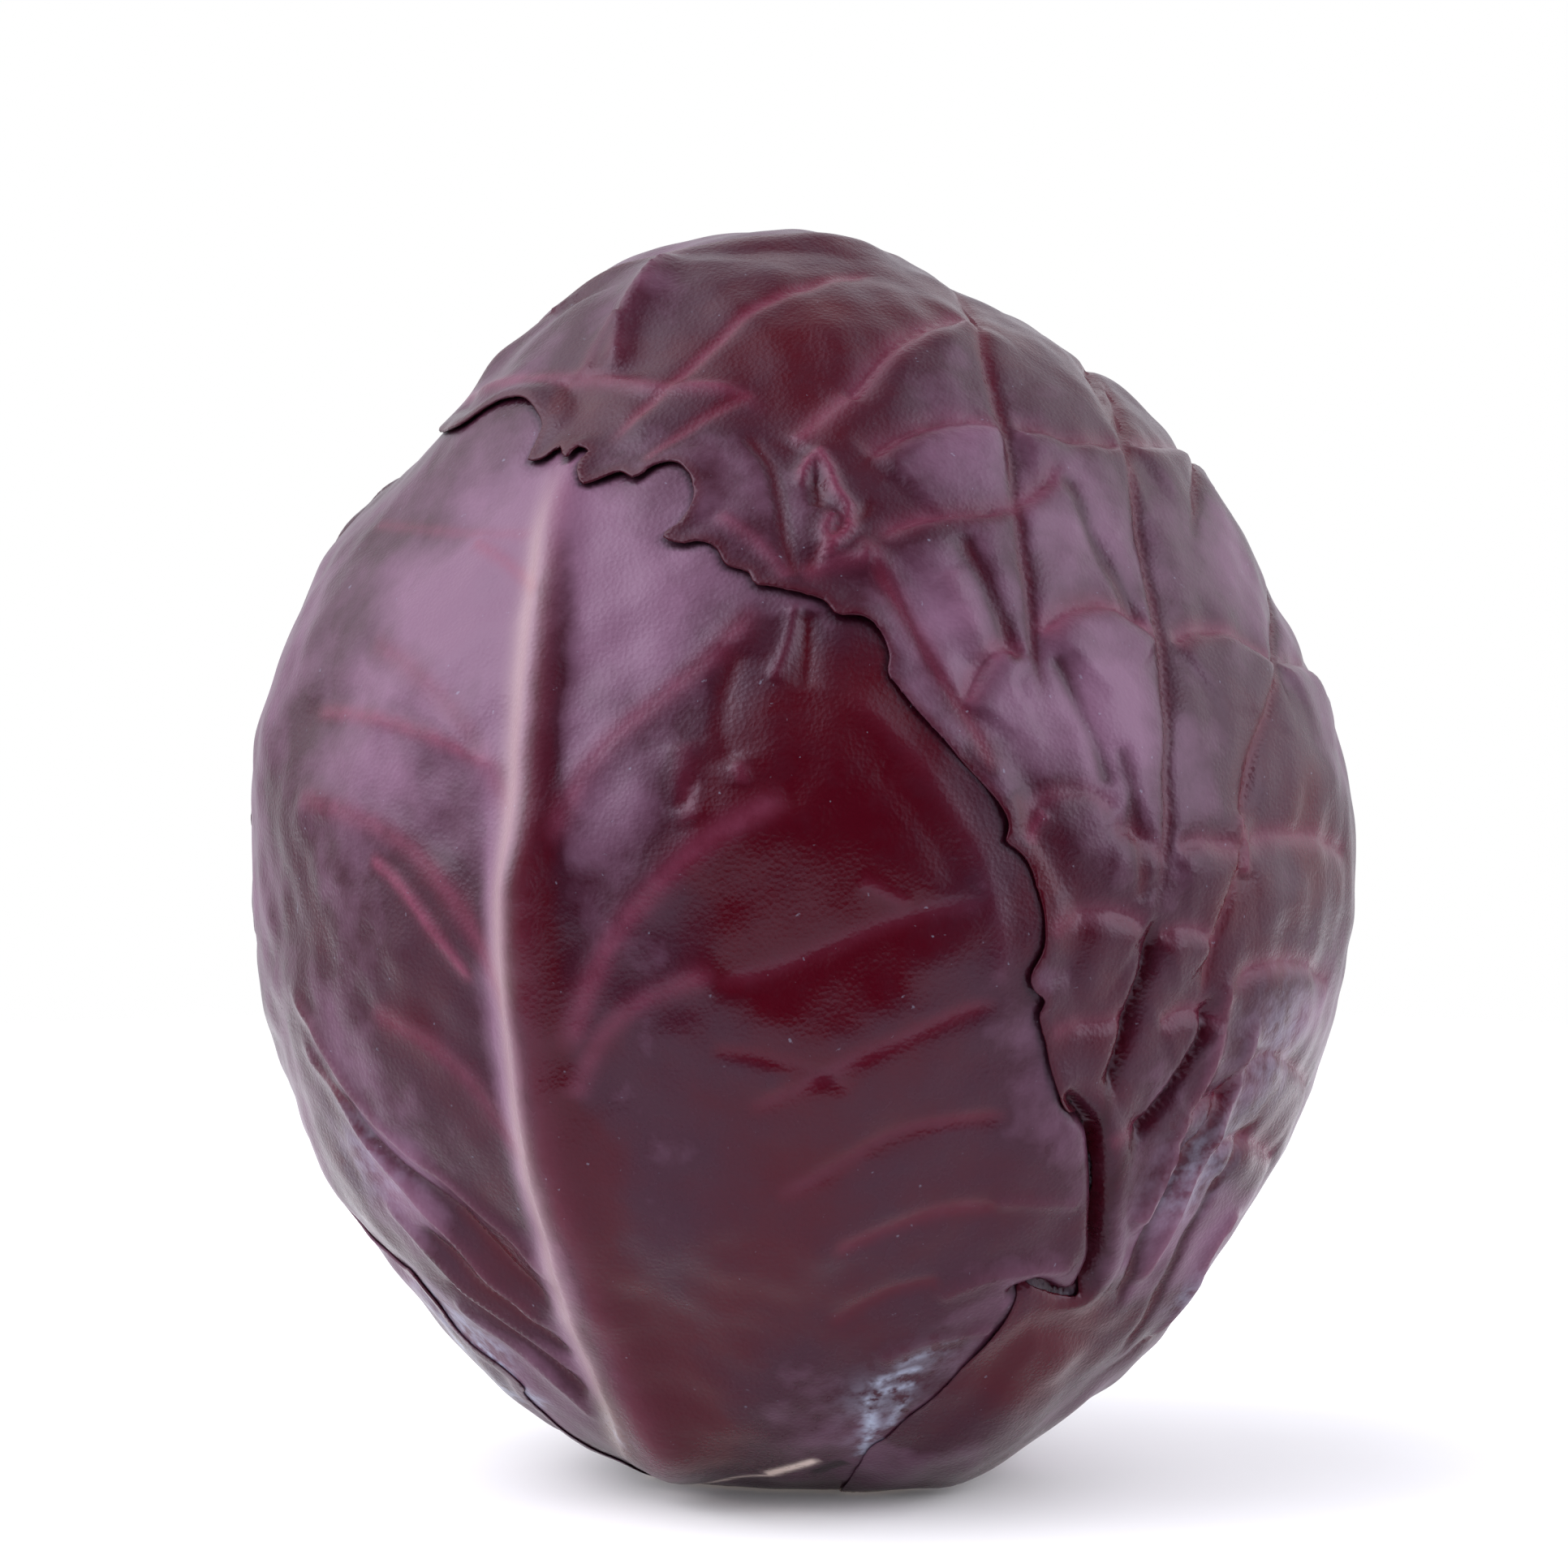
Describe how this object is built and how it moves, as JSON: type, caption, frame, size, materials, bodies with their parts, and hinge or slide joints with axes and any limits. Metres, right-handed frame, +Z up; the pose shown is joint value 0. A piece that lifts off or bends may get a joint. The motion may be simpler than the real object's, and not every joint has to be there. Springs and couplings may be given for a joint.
{
  "type": "red cabbage head",
  "caption": "Fresh red cabbage head of overlapping purple leaves round a tight heart, standing on its flat cut stem.",
  "frame": {"origin": "middle of the stem's flat cut face, on the surface that the head stands on", "axes": "+Z up through the stem and the crown, -Y towards the front wrapper leaf's face, +X to the right of it"},
  "size_m": [0.1504, 0.1474, 0.168],
  "materials": {
    "wrapper_leaf": "waxy satin red cabbage leaf, dark maroon with a lilac bloom and pink veins",
    "inner_leaf": "smooth crisp purple cabbage leaf with pale ribs",
    "heart": "tightly packed young purple leaves",
    "cut_stem": "moist cream cut stem flesh"
  },
  "bodies": {
    "root": {"right_wrapper_leaf": "wrapper_leaf", "back_wrapper_leaf": "wrapper_leaf", "front_wrapper_leaf": "wrapper_leaf", "inner_leaf_1": "inner_leaf", "inner_leaf_2": "inner_leaf", "inner_leaf_3": "inner_leaf", "inner_leaf_4": "inner_leaf", "inner_leaf_5": "inner_leaf", "inner_leaf_6": "inner_leaf", "inner_leaf_7": "inner_leaf", "inner_leaf_8": "inner_leaf", "heart": "heart", "cut_stem": "cut_stem"}
  },
  "joints": []
}
